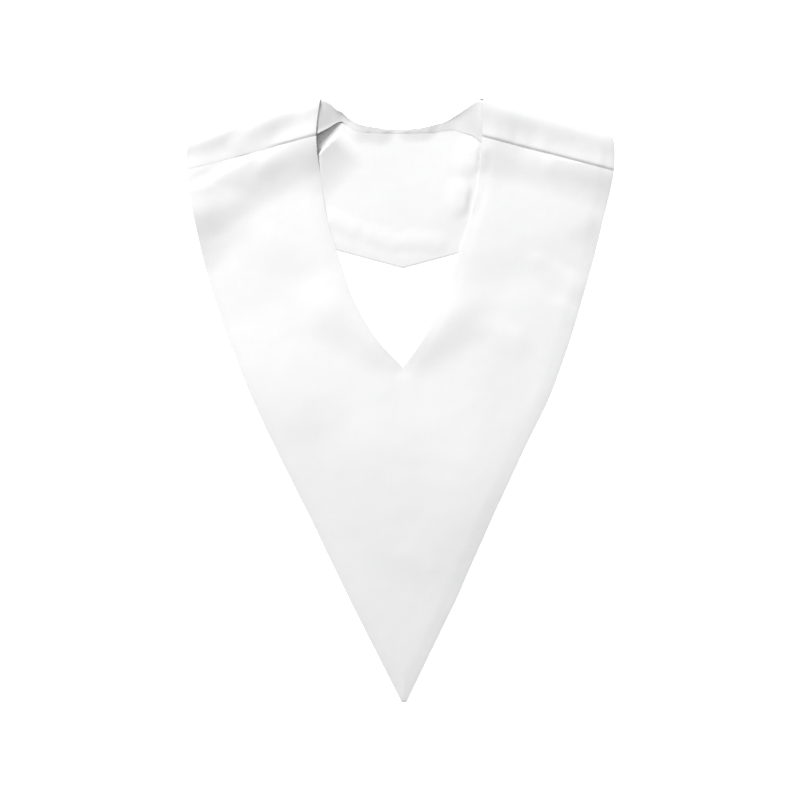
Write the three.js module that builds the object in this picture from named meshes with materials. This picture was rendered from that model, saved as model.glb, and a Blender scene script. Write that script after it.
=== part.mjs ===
// A white satin V stole, lying face up on a flat surface, in millimetres.
// The short back panel rolls over both shoulders and comes forward to the shoulder seams,
// where it meets the long V-shaped front panel. A lining and a neck facing show in the neck.
// Left is -X, right is +X, the shoulders are at +Y and +Z points up from the surface.
// Every depth is measured down from the highest point of the shoulders, towards -Y.
import * as THREE from "three";

// Overall size
const stoleWidth = 432;
const stoleLength = 610;
const pointWidth = 5;
const pointOffset = 4;

// Neck opening
const neckWidth = 164;
const neckDepth = 271;
const neckOffset = 2;
const vPointOffset = 3;
const backNeckDrop = 30;
const cornerBend = 38;
const facingDrop = 40;
const facingTuck = 10;

// Back panel
const backLength = 171;
const hemCornerDepth = 113;
const hemStepRun = 46;

// How far the front's raised neck edges and the ridge along each shoulder seam reach
const liftReach = 46;
const liftLength = 74;
const seamReach = 46;

// Soft folds of the front panel
const foldReach = 24;
const foldHeight = 1.6;

// Cloth and the gaps between its layers
const clothThickness = 1.2;
const liningThickness = 1;
const facingThickness = 1;
const layerGap = 0.35;
const seamGap = 0.4;

// Section of the shoulder roll's upper half: 1 is round, and less is flatter with a tighter turn
const rollTurn = 0.64;

// What differs from one side to the other. The fold is the top of the shoulder, and the yoke is
// the strip of the back panel between the fold and the seam. neckTurn is how far the back neckline
// ends inside half the neck's width. The facet is the part of the facing at a neck corner, and
// facetStands is how much of it stays up at its lower edge.
const left = {
  name: "left",
  sign: -1,
  foldAtNeck: 1,
  foldAtArm: 43.5,
  foldBulge: 4,
  yokeAtNeck: 36.5,
  yokeAtArm: 29,
  neckTurn: 2,
  rollAtNeck: 12,
  rollAtArm: 9.2,
  neckLift: 5.6,
  seamAtNeck: 2.2,
  seamAtArm: 2.8,
  facetHeight: 9.5,
  facetStands: 1,
};
const right = {
  name: "right",
  sign: 1,
  foldAtNeck: 0,
  foldAtArm: 37,
  foldBulge: 0.8,
  yokeAtNeck: 38.5,
  yokeAtArm: 36,
  neckTurn: 5.5,
  rollAtNeck: 9.6,
  rollAtArm: 9.4,
  neckLift: 2.8,
  seamAtNeck: 2.6,
  seamAtArm: 3.6,
  facetHeight: 6.6,
  facetStands: 0,
};

// Outer edge. down is a share of the stole's length, left and right are shares of half its width.
const outerEdge = [
  { down: 0.06, left: 0.975, right: 0.991 },
  { down: 0.075, left: 0.989, right: 0.998 },
  { down: 0.097, left: 1, right: 1 },
  { down: 0.135, left: 0.992, right: 0.991 },
  { down: 0.21, left: 0.956, right: 0.944 },
  { down: 0.284, left: 0.908, right: 0.891 },
  { down: 0.383, left: 0.818, right: 0.81 },
  { down: 0.483, left: 0.708, right: 0.713 },
  { down: 0.582, left: 0.578, right: 0.58 },
  { down: 0.681, left: 0.44, right: 0.45 },
  { down: 0.83, left: 0.237, right: 0.264 },
];

// Front neckline. down is a share of the neck's depth, left and right of half its width.
const neckEdge = [
  { down: 0, left: 1, right: 1 },
  { down: 0.13, left: 1.055, right: 0.985 },
  { down: 0.3, left: 1, right: 0.94 },
  { down: 0.45, left: 0.92, right: 0.825 },
  { down: 0.6, left: 0.775, right: 0.665 },
  { down: 0.75, left: 0.6, right: 0.5 },
  { down: 0.9, left: 0.305, right: 0.235 },
  { down: 1, left: 0, right: 0 },
];

// Back neckline, from the middle out to a neck corner. across is a share of the way, and left and
// right are shares of backNeckDrop.
const backNeck = [
  { across: 0, left: 1, right: 1 },
  { across: 0.4, left: 0.895, right: 0.86 },
  { across: 0.55, left: 0.8, right: 0.765 },
  { across: 0.68, left: 0.6, right: 0.58 },
  { across: 0.75, left: 0.42, right: 0.46 },
  { across: 0.83, left: 0.3, right: 0.3 },
  { across: 0.91, left: 0.105, right: 0.14 },
  { across: 1, left: 0, right: 0 },
];

// Run of the bend below the back neckline. left and right are shares of cornerBend.
const neckBends = [
  { across: 0, left: 0.14, right: 0.14 },
  { across: 0.4, left: 0.16, right: 0.145 },
  { across: 0.55, left: 0.185, right: 0.18 },
  { across: 0.68, left: 0.215, right: 0.29 },
  { across: 0.75, left: 0.24, right: 0.39 },
  { across: 0.83, left: 0.4, right: 0.56 },
  { across: 0.91, left: 0.62, right: 0.76 },
  { across: 1, left: 0.78, right: 1 },
];

// Lower edge of the facing. left and right are depths, as shares of facingDrop.
const facingEdge = [
  { across: 0, left: 0.87, right: 0.87 },
  { across: 0.43, left: 0.85, right: 0.8425 },
  { across: 0.59, left: 0.8, right: 0.785 },
  { across: 0.66, left: 0.725, right: 0.78 },
  { across: 0.72, left: 0.62, right: 0.8 },
  { across: 0.77, left: 0.57, right: 0.83 },
  { across: 0.84, left: 0.63, right: 0.87 },
  { across: 0.93, left: 0.75, right: 0.93 },
  { across: 1.03, left: 0.86, right: 1.07 },
  { across: 1.14, left: 0.97, right: 1.24 },
];

// Where the facet rises, as shares of the way to a corner, and how far it dips towards the fold
const facetRises = { from: 0.675, to: 1.05 };
const facetDip = 2;

// The lining's raised fold below the left facet, from its foot at the front panel up to its top.
// across is a share of the way to the left corner, and down is a share of facingDrop. It is steep
// above its crest and gentle below, and it fades out at its top and under the front.
const cornerFold = { across: [1.075, 0.74], down: [1.45, 0.775], above: 5, below: 40, rise: 5.2 };
const cornerFoldTop = { from: 0.7, to: 1.05 };
const cornerFoldHidden = { from: 0, to: 17 };

// Crests of the front panel's soft folds. across is a share of half the width, down is a share
// of the length, and rise and reach are shares of foldHeight and foldReach.
const folds = [
  { across: [-0.64, -0.92], down: [0.093, 0.151], rise: 0.9, reach: 1.3 },
  { across: [-0.95, -0.92], down: [0.17, 0.24], rise: 1.2, reach: 1.3 },
  { across: [-0.69, -0.44], down: [0.28, 0.49], rise: 0.6, reach: 2.2 },
  { across: [-0.41, -0.28], down: [0.62, 0.72], rise: 0.7, reach: 1.8 },
  { across: [0.685, 0.86], down: [0.098, 0.197], rise: 0.7, reach: 1.2 },
  { across: [0.66, 0.83], down: [0.27, 0.31], rise: 0.4, reach: 0.9 },
  { across: [-0.22, -0.02], down: [0.387, 0.433], rise: 0.5, reach: 1 },
  { across: [0.23, 0.03], down: [0.393, 0.436], rise: 0.4, reach: 1 },
];

// How finely the cloth is divided
const wingColumns = 10;
const neckColumns = 30;
const yokeRows = 6;
const arcRows = 4;
const backRows = { count: 5, crowding: 1 };
const liningRows = { count: 16, crowding: 1.5 };
const facingRows = { count: 7, crowding: 1.7 };
const facingColumns = 36;
const frontColumns = 10;
const rowsToHem = 7;
const rowsOverStep = 4;
const rowsToV = 6;
const rowsToPoint = 13;

// Where the shoulder's own roll takes over from the wide bend at the neck corner, as shares of the
// way to the arm
const cornerBendEnds = { from: 0.1, to: 0.4 };

// Layers of the back, each measured from the middle of the outer cloth to its own middle
const liningOffset = (clothThickness + liningThickness) / 2 + layerGap;
const facingOffset = liningOffset + (liningThickness + facingThickness) / 2 + layerGap;
const frontOffset = liningOffset + (liningThickness + clothThickness) / 2 + layerGap;

const { lerp, clamp, smoothstep } = THREE.MathUtils;
const halfWidth = stoleWidth / 2;
const quarterTurn = Math.PI / 2;

// Reads one column of a table as a smooth line through its rows
function readTable(table, key, column, at) {
  const last = table.length - 1;
  const above = table.findIndex((row) => row[key] > at);
  const i = above < 0 ? last - 1 : Math.max(above - 1, 0);
  const slope = (j) => {
    const before = table[Math.max(j - 1, 0)];
    const after = table[Math.min(j + 1, last)];
    return (after[column] - before[column]) / (after[key] - before[key]);
  };
  const from = table[i];
  const to = table[i + 1];
  const span = to[key] - from[key];
  const t = clamp((at - from[key]) / span, 0, 1);
  const leaving = (1 + 2 * t) * (1 - t) ** 2 * from[column] + t * (1 - t) ** 2 * span * slope(i);
  const arriving = t ** 2 * (3 - 2 * t) * to[column] - t ** 2 * (1 - t) * span * slope(i + 1);
  return leaving + arriving;
}

// Where the outer edge lies at a depth. Below its table it runs straight to the point.
function outerX(side, depth) {
  const lastRow = outerEdge[outerEdge.length - 1];
  const down = depth / stoleLength;
  if (down <= lastRow.down) {
    return side.sign * halfWidth * readTable(outerEdge, "down", side.name, down);
  }
  const from = side.sign * halfWidth * lastRow[side.name];
  const to = pointOffset + (side.sign * pointWidth) / 2;
  return lerp(from, to, (down - lastRow.down) / (1 - lastRow.down));
}

// Where the front neckline lies at a depth. Below the V it is the middle line of the panel.
function neckX(side, depth) {
  const down = depth / neckDepth;
  if (down >= 1) {
    const along = (depth - neckDepth) / (stoleLength - neckDepth);
    return lerp(vPointOffset, pointOffset, along);
  }
  const middle = lerp(neckOffset, vPointOffset, down);
  const half = (neckWidth / 2) * readTable(neckEdge, "down", side.name, down);
  return middle + side.sign * half;
}

// Half the width of the back neckline
function backNeckHalf(side) {
  return neckWidth / 2 - side.neckTurn;
}

// Depth of the back hem, a shallow V with its point near the middle
function hemDepth(x) {
  return lerp(backLength, hemCornerDepth, Math.abs(x - vPointOffset) / halfWidth);
}

// Depth of the shoulder fold and of the seam, from the neck (0) to the arm (1)
function foldDepth(side, share) {
  const straight = lerp(side.foldAtNeck, side.foldAtArm, share);
  return straight - side.foldBulge * Math.sin(Math.PI * share);
}

function seamDepth(side, share) {
  const atNeck = side.foldAtNeck + side.yokeAtNeck;
  const atArm = side.foldAtArm + side.yokeAtArm;
  return lerp(atNeck, atArm, share);
}

// Radius of the roll at the shoulder fold, at the middle of its cloth
function rollRadius(side, share) {
  const height = lerp(side.rollAtNeck, side.rollAtArm, smoothstep(share, 0, cornerBendEnds.to));
  return (height - clothThickness) / 2;
}

// How high one soft fold stands at a point
function foldRise(fold, x, depth) {
  const from = new THREE.Vector3(fold.across[0] * halfWidth, fold.down[0] * stoleLength);
  const to = new THREE.Vector3(fold.across[1] * halfWidth, fold.down[1] * stoleLength);
  const point = new THREE.Vector3(x, depth);
  const nearest = new THREE.Vector3();
  new THREE.Line3(from, to).closestPointToPoint(point, true, nearest);
  const share = clamp(point.distanceTo(nearest) / (foldReach * fold.reach), 0, 1);
  return foldHeight * fold.rise * Math.cos(quarterTurn * share) ** 2;
}

// How far the neck edge of one side stands up off the back panel
function neckRise(side, x, depth) {
  const fromEdge = side.sign * (x - neckX(side, Math.min(depth, neckDepth)));
  const seam = seamDepth(side, 0);
  const acrossShare = 1 - smoothstep(fromEdge, 0, liftReach);
  const downShare = 1 - smoothstep(depth, seam, seam + liftLength);
  return side.neckLift * acrossShare * downShare;
}

// How far the shoulder seam lifts the cloth below it
function seamRise(side, x, depth) {
  const inner = neckX(side, seamDepth(side, 0));
  const outer = outerX(side, seamDepth(side, 1));
  const share = clamp((x - inner) / (outer - inner), 0, 1);
  const below = depth - seamDepth(side, share);
  return lerp(side.seamAtNeck, side.seamAtArm, share) * (1 - smoothstep(below, 0, seamReach));
}

// Height of the middle of the front cloth: over the back panel, then down a step past its hem
function frontHeight(side, x, depth) {
  const pastHem = depth - hemDepth(x) - seamGap;
  const lying = frontOffset * (1 - smoothstep(pastHem, 0, hemStepRun));
  const folded = folds.reduce((sum, fold) => sum + foldRise(fold, x, depth), 0);
  const lifted = seamRise(side, x, depth) + neckRise(side, x, depth);
  return clothThickness / 2 + lying + folded + lifted;
}

function place(x, depth, height) {
  return new THREE.Vector3(x, stoleLength / 2 - depth, height);
}

// One row of the front panel on one side, from the neck edge to the outer edge
function frontRow(side, innerDepth, outerDepth) {
  const row = [];
  for (let c = 0; c <= frontColumns; c++) {
    const share = c / frontColumns;
    const x = lerp(neckX(side, innerDepth), outerX(side, outerDepth), share);
    const depth = lerp(innerDepth, outerDepth, share);
    row.push(place(x, depth, frontHeight(side, x, depth)));
  }
  return row;
}

// The part of the front panel beside the neck, from the shoulder seam to the point of the V
function frontWing(side) {
  const hemAtNeck = hemDepth(neckX(side, backLength)) + seamGap;
  const hemAtArm = hemDepth(outerX(side, hemCornerDepth)) + seamGap;
  const stations = [
    { inner: seamDepth(side, 0) + seamGap, outer: seamDepth(side, 1) + seamGap },
    { inner: hemAtNeck, outer: hemAtArm, rows: rowsToHem },
    { inner: hemAtNeck + hemStepRun, outer: hemAtArm + hemStepRun, rows: rowsOverStep },
    { inner: neckDepth, outer: neckDepth, rows: rowsToV },
  ];
  const rows = [frontRow(side, stations[0].inner, stations[0].outer)];
  for (let s = 1; s < stations.length; s++) {
    const from = stations[s - 1];
    const to = stations[s];
    for (let r = 1; r <= to.rows; r++) {
      const share = r / to.rows;
      const inner = lerp(from.inner, to.inner, share);
      rows.push(frontRow(side, inner, lerp(from.outer, to.outer, share)));
    }
  }
  return rows;
}

// The part of the front panel below the neck, both sides in one
function frontLower() {
  const rows = [];
  for (let r = 0; r <= rowsToPoint; r++) {
    const depth = lerp(neckDepth, stoleLength, r / rowsToPoint);
    const leftRow = frontRow(left, depth, depth).reverse();
    rows.push([...leftRow, ...frontRow(right, depth, depth).slice(1)]);
  }
  return rows;
}

// Top edge of the lower layer of the back, at a share of the way from the middle to a neck corner
// or past it: its depth, how high it stands, and the run over which it bends down
function backEdge(side, across) {
  const other = side === left ? right : left;
  const half = backNeckHalf(side);
  const pastCorner = ((across - 1) * half) / (halfWidth - half);
  const fold =
    across > 1
      ? foldDepth(side, pastCorner)
      : lerp(other.foldAtNeck, side.foldAtNeck, (across + 1) / 2);
  const drop = readTable(backNeck, "across", side.name, across);
  return {
    edge: fold + clothThickness / 2 + drop * backNeckDrop,
    rise: rollRadius(side, 0) * (1 - drop),
    run: readTable(neckBends, "across", side.name, across) * cornerBend,
  };
}

// A section of the lower layer of the back, from its top edge, standing up by a rise and coming
// down over a run, then flat to the hem
function lowerSection({ edge, rise, run }, hem, rows) {
  const section = [];
  for (let r = 0; r <= arcRows; r++) {
    const turn = (quarterTurn * r) / arcRows;
    const depth = edge + run * (1 - Math.cos(turn));
    section.push({ depth, height: clothThickness / 2 + rise * (1 - Math.sin(turn)) });
  }
  for (let r = 1; r <= rows.count; r++) {
    const depth = lerp(edge + run, hem, (r / rows.count) ** rows.crowding);
    section.push({ depth, height: clothThickness / 2 });
  }
  return section;
}

// The lower section under one shoulder, at a share of the way from the neck to the arm
function shoulderSection(side, share, rows) {
  const innerX = neckOffset + side.sign * backNeckHalf(side);
  const x = lerp(innerX, outerX(side, hemCornerDepth), share);
  const radius = rollRadius(side, share);
  const bendEnds = smoothstep(share, cornerBendEnds.from, cornerBendEnds.to);
  const edge = foldDepth(side, share) + clothThickness / 2;
  const run = lerp(backEdge(side, 1).run, radius, bendEnds);
  return lowerSection({ edge, rise: radius, run }, hemDepth(x), rows);
}

// One column of the lower layer under a shoulder
function shoulderColumn(side, share, rows) {
  const innerX = neckOffset + side.sign * backNeckHalf(side);
  const armSection = shoulderSection(side, 1, rows);
  return shoulderSection(side, share, rows).map(({ depth, height }, r) => {
    const x = lerp(innerX, outerX(side, armSection[r].depth), share);
    return place(x, depth, height);
  });
}

// One column of the lower layer in the neck, at -1 for the left corner to 1 for the right one
function neckColumn(at, rows) {
  const side = at < 0 ? left : right;
  const x = neckOffset + at * backNeckHalf(side);
  const edge = backEdge(side, Math.abs(at));
  return lowerSection(edge, hemDepth(x), rows).map(({ depth, height }) => place(x, depth, height));
}

// The whole lower layer of the back, from the left arm to the right arm, as columns
function lowerColumns(rows) {
  const columns = [];
  for (let c = wingColumns; c > 0; c--) {
    columns.push(shoulderColumn(left, c / wingColumns, rows));
  }
  for (let c = 0; c <= neckColumns; c++) {
    columns.push(neckColumn((2 * c) / neckColumns - 1, rows));
  }
  for (let c = 1; c <= wingColumns; c++) {
    columns.push(shoulderColumn(right, c / wingColumns, rows));
  }
  return columns;
}

// One column of the yoke, from the seam up to the crest of the roll and over to its far side
function yokeColumn(side, share) {
  const sectionAt = (at) => {
    const radius = rollRadius(side, at);
    const crest = foldDepth(side, at) + clothThickness / 2 + radius;
    const top = clothThickness / 2 + 2 * radius;
    const section = [];
    for (let r = 0; r <= yokeRows; r++) {
      const up = (1 - Math.cos((Math.PI * r) / yokeRows)) / 2;
      section.push({ depth: lerp(seamDepth(side, at), crest, r / yokeRows), up, top, turned: 0 });
    }
    for (let r = 1; r <= arcRows; r++) {
      const turn = (quarterTurn * r) / arcRows;
      const depth = crest - radius * Math.sin(turn) ** rollTurn;
      const height = top - radius * (1 - clamp(Math.cos(turn), 0, 1) ** rollTurn);
      section.push({ depth, up: 1, top: height, turned: r / arcRows });
    }
    return section;
  };
  const atNeck = sectionAt(0);
  const atArm = sectionAt(1);
  const cornerX = neckOffset + side.sign * backNeckHalf(side);
  const seamX = lerp(neckX(side, atNeck[0].depth), outerX(side, atArm[0].depth), share);
  const seamHeight = frontHeight(side, seamX, seamDepth(side, share));
  return sectionAt(share).map(({ depth, up, top, turned }, r) => {
    const innerX = lerp(neckX(side, atNeck[r].depth), cornerX, turned);
    const x = lerp(innerX, outerX(side, atArm[r].depth), share);
    return place(x, depth, lerp(seamHeight, top, up));
  });
}

function yokeColumns(side) {
  const columns = [];
  for (let c = 0; c <= wingColumns; c++) columns.push(yokeColumn(side, c / wingColumns));
  return side.sign < 0 ? columns.reverse() : columns;
}

function transpose(grid) {
  return grid[0].map((_, i) => grid.map((line) => line[i]));
}

// Joins grids of points into one surface, with the points that they share made one
function joinGrids(grids) {
  const points = [];
  const faces = [];
  const known = new Map();
  const indexOf = (point) => {
    const key = point.toArray().map((value) => value.toFixed(3)).join();
    if (!known.has(key)) known.set(key, points.push(point) - 1);
    return known.get(key);
  };
  for (const grid of grids) {
    const indices = grid.map((row) => row.map(indexOf));
    for (let r = 1; r < indices.length; r++) {
      for (let c = 1; c < indices[r].length; c++) {
        const [a, b] = [indices[r - 1][c - 1], indices[r - 1][c]];
        const [d, e] = [indices[r][c - 1], indices[r][c]];
        faces.push([a, b, e], [a, e, d]);
      }
    }
  }
  const surface = new THREE.BufferGeometry().setFromPoints(points);
  surface.setIndex(faces.flat());
  surface.computeVertexNormals();
  const { normal } = surface.attributes;
  const normals = points.map((_, i) => new THREE.Vector3().fromBufferAttribute(normal, i));
  return { points, faces, normals };
}

// Makes cloth of a surface: a face on either side of it and a wall along each free edge
function clothGeometry(grids, thickness) {
  const { points, faces, normals } = joinGrids(grids);
  const count = points.length;
  const shifted = (distance) =>
    points.map((point, i) => point.clone().addScaledVector(normals[i], distance));
  const vertices = [...shifted(thickness / 2), ...shifted(-thickness / 2)];
  const triangles = faces.flatMap(([a, b, c]) => [
    [a, b, c],
    [a + count, c + count, b + count],
  ]);
  const edges = new Set(faces.flatMap(([a, b, c]) => [`${a},${b}`, `${b},${c}`, `${c},${a}`]));
  for (const edge of edges) {
    const [a, b] = edge.split(",").map(Number);
    if (!edges.has(`${b},${a}`)) triangles.push([b, a, a + count], [b, a + count, b + count]);
  }
  return new THREE.BufferGeometry().setFromPoints(vertices).setIndex(triangles.flat());
}

// Moves a grid sideways off its own surface, towards the inside of the back
function offsetGrid(grid, distance) {
  const { normals } = joinGrids([grid]);
  const width = grid[0].length;
  return grid.map((row, r) =>
    row.map((point, c) => point.clone().addScaledVector(normals[r * width + c], -distance)),
  );
}

function clothMesh(name, grids, thickness, satin) {
  const mesh = new THREE.Mesh(clothGeometry(grids, thickness), satin);
  mesh.name = name;
  return mesh;
}

function satin(colour, roughness) {
  return new THREE.MeshStandardMaterial({ color: colour, roughness, metalness: 0 });
}

function frontPanel() {
  const leftWing = frontWing(left).map((row) => row.reverse());
  const grids = [leftWing, frontWing(right), frontLower()];
  return clothMesh("front_panel", grids, clothThickness, satin(0xf3f3f3, 0.45));
}

function backPanel() {
  const yokes = [left, right].map((side) => transpose(yokeColumns(side)));
  const grids = [...yokes, transpose(lowerColumns(backRows))];
  return clothMesh("back_panel", grids, clothThickness, satin(0xf3f3f3, 0.45));
}

// How high the lining's corner fold stands at a point
function cornerFoldRise(x, depth) {
  const half = backNeckHalf(left);
  const [fromX, toX] = cornerFold.across.map((across) => neckOffset + left.sign * across * half);
  const [fromDepth, toDepth] = cornerFold.down.map((down) => down * facingDrop);
  const run = new THREE.Vector2(toX - fromX, toDepth - fromDepth);
  const off = new THREE.Vector2(x - fromX, depth - fromDepth);
  const along = off.dot(run) / run.lengthSq();
  const below = run.cross(off) / run.length();
  const pastCorner = left.sign * (x - neckOffset) - half;
  const section =
    below < 0
      ? 1 - smoothstep(-below, 0, cornerFold.above)
      : 1 - smoothstep(below, 0, cornerFold.below);
  const shown = 1 - smoothstep(pastCorner, cornerFoldHidden.from, cornerFoldHidden.to);
  return cornerFold.rise * section * shown * (1 - smoothstep(along, cornerFoldTop.from, cornerFoldTop.to));
}

function backLining() {
  const grid = offsetGrid(transpose(lowerColumns(liningRows)), liningOffset);
  for (const point of grid.flat()) point.z += cornerFoldRise(point.x, stoleLength / 2 - point.y);
  return clothMesh("back_lining", [grid], liningThickness, satin(0xf1f1f1, 0.45));
}

// One column of the facing, lying on the lower layer of the back
function facingColumn(at) {
  const side = at < 0 ? left : right;
  const { edge, rise, run } = backEdge(side, Math.abs(at));
  const width = readTable(facingEdge, "across", side.name, Math.abs(at)) * facingDrop - edge;
  const column = [];
  for (let r = 0; r <= facingRows.count; r++) {
    const down = width * (r / facingRows.count) ** facingRows.crowding;
    const bend = 1 - Math.min(down / run, 1);
    const height = clothThickness / 2 + rise * (1 - Math.sqrt(1 - bend * bend));
    column.push(place(neckOffset + at * backNeckHalf(side), edge + down, height));
  }
  return column;
}

// How far the facing stands up at a neck corner, at a share of the way down to its lower edge
function facetRise(point, down) {
  const side = point.x < neckOffset ? left : right;
  const across = (side.sign * (point.x - neckOffset)) / backNeckHalf(side);
  const risen = smoothstep(across, facetRises.from, facetRises.to) * smoothstep(down, 0, 0.05);
  const stands = 1 - (1 - side.facetStands) * smoothstep(down, 0.5, 1);
  const height = side.facetHeight - facetDip * (1 - down) ** 2;
  return Math.max(height - point.z, 0) * risen * stands;
}

// The facing lies on the lining along the back neckline, and is tucked in under both yokes
function neckFacing() {
  const reach = (side) => 1 + facingTuck / backNeckHalf(side);
  const columns = [];
  for (let c = 0; c <= facingColumns; c++) {
    columns.push(facingColumn(lerp(-reach(left), reach(right), c / facingColumns)));
  }
  const grid = offsetGrid(transpose(columns), facingOffset);
  grid.forEach((row, r) => {
    const down = (r / facingRows.count) ** facingRows.crowding;
    for (const point of row) point.z += facetRise(point, down);
  });
  return clothMesh("neck_facing", [grid], facingThickness, satin(0xf1f1f1, 0.5));
}

const stole = new THREE.Group();
stole.add(frontPanel(), backPanel(), backLining(), neckFacing());

export default stole;
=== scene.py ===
# A white satin V stole lying face up: its cloth, folds, seams and finish.
# Sizes are in millimetres and turned into metres where a point is placed. Depths are measured
# down the stole from the highest point of its shoulders. Left is -X and right is +X.
import math
from collections import namedtuple

import bpy
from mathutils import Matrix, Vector, noise


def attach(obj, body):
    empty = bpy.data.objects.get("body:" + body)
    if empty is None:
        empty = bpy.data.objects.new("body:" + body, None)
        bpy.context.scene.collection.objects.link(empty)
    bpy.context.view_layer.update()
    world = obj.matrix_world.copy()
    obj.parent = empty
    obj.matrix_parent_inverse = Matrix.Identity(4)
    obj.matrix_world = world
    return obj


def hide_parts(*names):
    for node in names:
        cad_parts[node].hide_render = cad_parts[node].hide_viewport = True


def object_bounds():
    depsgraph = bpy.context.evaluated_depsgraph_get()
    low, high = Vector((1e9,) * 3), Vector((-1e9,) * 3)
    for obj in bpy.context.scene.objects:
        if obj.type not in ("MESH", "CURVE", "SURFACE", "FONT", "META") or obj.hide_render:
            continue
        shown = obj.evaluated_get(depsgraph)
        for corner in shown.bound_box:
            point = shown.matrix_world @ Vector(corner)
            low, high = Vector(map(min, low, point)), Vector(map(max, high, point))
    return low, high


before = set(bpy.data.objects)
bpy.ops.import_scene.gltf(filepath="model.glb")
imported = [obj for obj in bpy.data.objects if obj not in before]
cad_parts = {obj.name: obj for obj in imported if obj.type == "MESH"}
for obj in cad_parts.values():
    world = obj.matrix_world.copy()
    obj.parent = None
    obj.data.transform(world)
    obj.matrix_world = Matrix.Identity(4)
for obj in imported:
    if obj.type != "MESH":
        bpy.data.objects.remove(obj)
cad_low, cad_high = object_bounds()

MM = 0.001

# Overall size, from the frame
WIDTH = (cad_high.x - cad_low.x) / MM
LENGTH = (cad_high.y - cad_low.y) / MM
TOP = cad_high.y / MM
HALF_WIDTH = WIDTH / 2

# Point, neck opening and back panel
POINT_WIDTH = 5
POINT_OFFSET = 4
NECK_WIDTH = 164
NECK_DEPTH = 271
NECK_OFFSET = 2
V_POINT_OFFSET = 3
BACK_NECK_DROP = 30
CORNER_BEND = 38
FACING_DROP = 40
FACING_TUCK = 10
BACK_LENGTH = 171
HEM_CORNER_DEPTH = 113

# Cloth, thinner than the solids it replaces, and how its layers lie on each other
FRONT_THICKNESS = 0.55
BACK_THICKNESS = 0.45
LINING_THICKNESS = 0.4
FACING_THICKNESS = 0.18
LAYER_GAP = 0.06
LINING_OFFSET = (BACK_THICKNESS + LINING_THICKNESS) / 2 + LAYER_GAP
FACING_OFFSET = LINING_OFFSET + (LINING_THICKNESS + FACING_THICKNESS) / 2 + LAYER_GAP
FRONT_OVER_BACK = BACK_THICKNESS + LINING_THICKNESS + 3 * LAYER_GAP

# Seams, and how far the neck edges stand up off the back
SEAM_GAP = 0.12
LIFT_REACH = 46
LIFT_LENGTH = 62
HEM_STEP_RUN = 46
HEM_MARGIN = 0.15

# Turned edges: a slight ridge over the seam allowance, and the hollow of the cloth inside it
EDGE_RIDGE = 0.1
EDGE_RIDGE_IN = 3.4
EDGE_RIDGE_REACH = 2.6
EDGE_FALL = 6
PUFF = 0.3
LINING_PUFF = 0.12

# Unevenness of laid-out cloth: how long its waves are across and down, and how high
Waves = namedtuple("Waves", "across down height")
BROAD_WAVES = Waves(52, 70, 0.5)
SMALL_WAVES = Waves(15, 19, 0.08)
WAVES_AT_EDGE = 0.15
WAVES_FADE = 16

# Section of the shoulder roll's upper half: 1 is round, and less is flatter with a tighter turn.
# Past its crest, the yoke's neck edge closes up to the back neckline by the power of corner_turn.
ROLL_TURN = 0.4
CORNER_TURN = 5

# Seam groove: its half width, how fast it fades along the seam and its puckers
GROOVE_WIDTH = 1.5
GROOVE_FADE = 0.15
PUCKER_DEPTH = 0.35
PUCKERS = 14

# The two shoulders. The fold's and yoke's places are depths. neck_turn is how far the back
# neckline ends inside half the neck's width, and a seam's reach is how far down the front it
# lifts the cloth. The rest are heights, or falls in height. A groove is deep up to groove_end, a
# share of the way to the arm, and groove_least past it. The facet is the part of the facing at a
# neck corner: it dips towards the fold and falls towards the seam, its lip is its turned lower
# edge, and facet_stands is how much of it stays up there.
Side = namedtuple(
    "Side",
    "name sign fold_at_neck fold_at_arm fold_bulge yoke_at_neck yoke_at_arm neck_turn "
    "roll_at_neck roll_at_arm neck_lift seam_rise_neck seam_rise_arm seam_reach_neck "
    "seam_reach_arm yoke_valley groove groove_end groove_least "
    "facet_height facet_dip facet_fall facet_lip facet_stands",
)
LEFT = Side(
    name="left", sign=-1,
    fold_at_neck=1, fold_at_arm=43.5, fold_bulge=4,
    yoke_at_neck=36.5, yoke_at_arm=29, neck_turn=2,
    roll_at_neck=12, roll_at_arm=9.2, neck_lift=5.4,
    seam_rise_neck=2.8, seam_rise_arm=5.4, seam_reach_neck=42, seam_reach_arm=88,
    yoke_valley=0.5, groove=0.8, groove_end=0.42, groove_least=0.1,
    facet_height=10.8, facet_dip=0.8, facet_fall=2.5, facet_lip=0.6, facet_stands=1,
)
RIGHT = Side(
    name="right", sign=1,
    fold_at_neck=0, fold_at_arm=37, fold_bulge=0.8,
    yoke_at_neck=38.5, yoke_at_arm=36, neck_turn=5.5,
    roll_at_neck=10.2, roll_at_arm=9.4, neck_lift=2.3,
    seam_rise_neck=2.4, seam_rise_arm=3.6, seam_reach_neck=40, seam_reach_arm=44,
    yoke_valley=0.4, groove=1.1, groove_end=1, groove_least=1,
    facet_height=8.6, facet_dip=0.64, facet_fall=0, facet_lip=0.27, facet_stands=0,
)

# Outer edge: at is a share of the length, left and right are shares of half the width
EdgeRow = namedtuple("EdgeRow", "at left right")
OUTER_EDGE = [
    EdgeRow(0.060, 0.975, 0.991),
    EdgeRow(0.075, 0.989, 0.998),
    EdgeRow(0.097, 1.000, 1.000),
    EdgeRow(0.135, 0.992, 0.991),
    EdgeRow(0.210, 0.956, 0.944),
    EdgeRow(0.284, 0.908, 0.891),
    EdgeRow(0.383, 0.818, 0.810),
    EdgeRow(0.483, 0.708, 0.713),
    EdgeRow(0.582, 0.578, 0.580),
    EdgeRow(0.681, 0.440, 0.450),
    EdgeRow(0.830, 0.237, 0.264),
]

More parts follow.
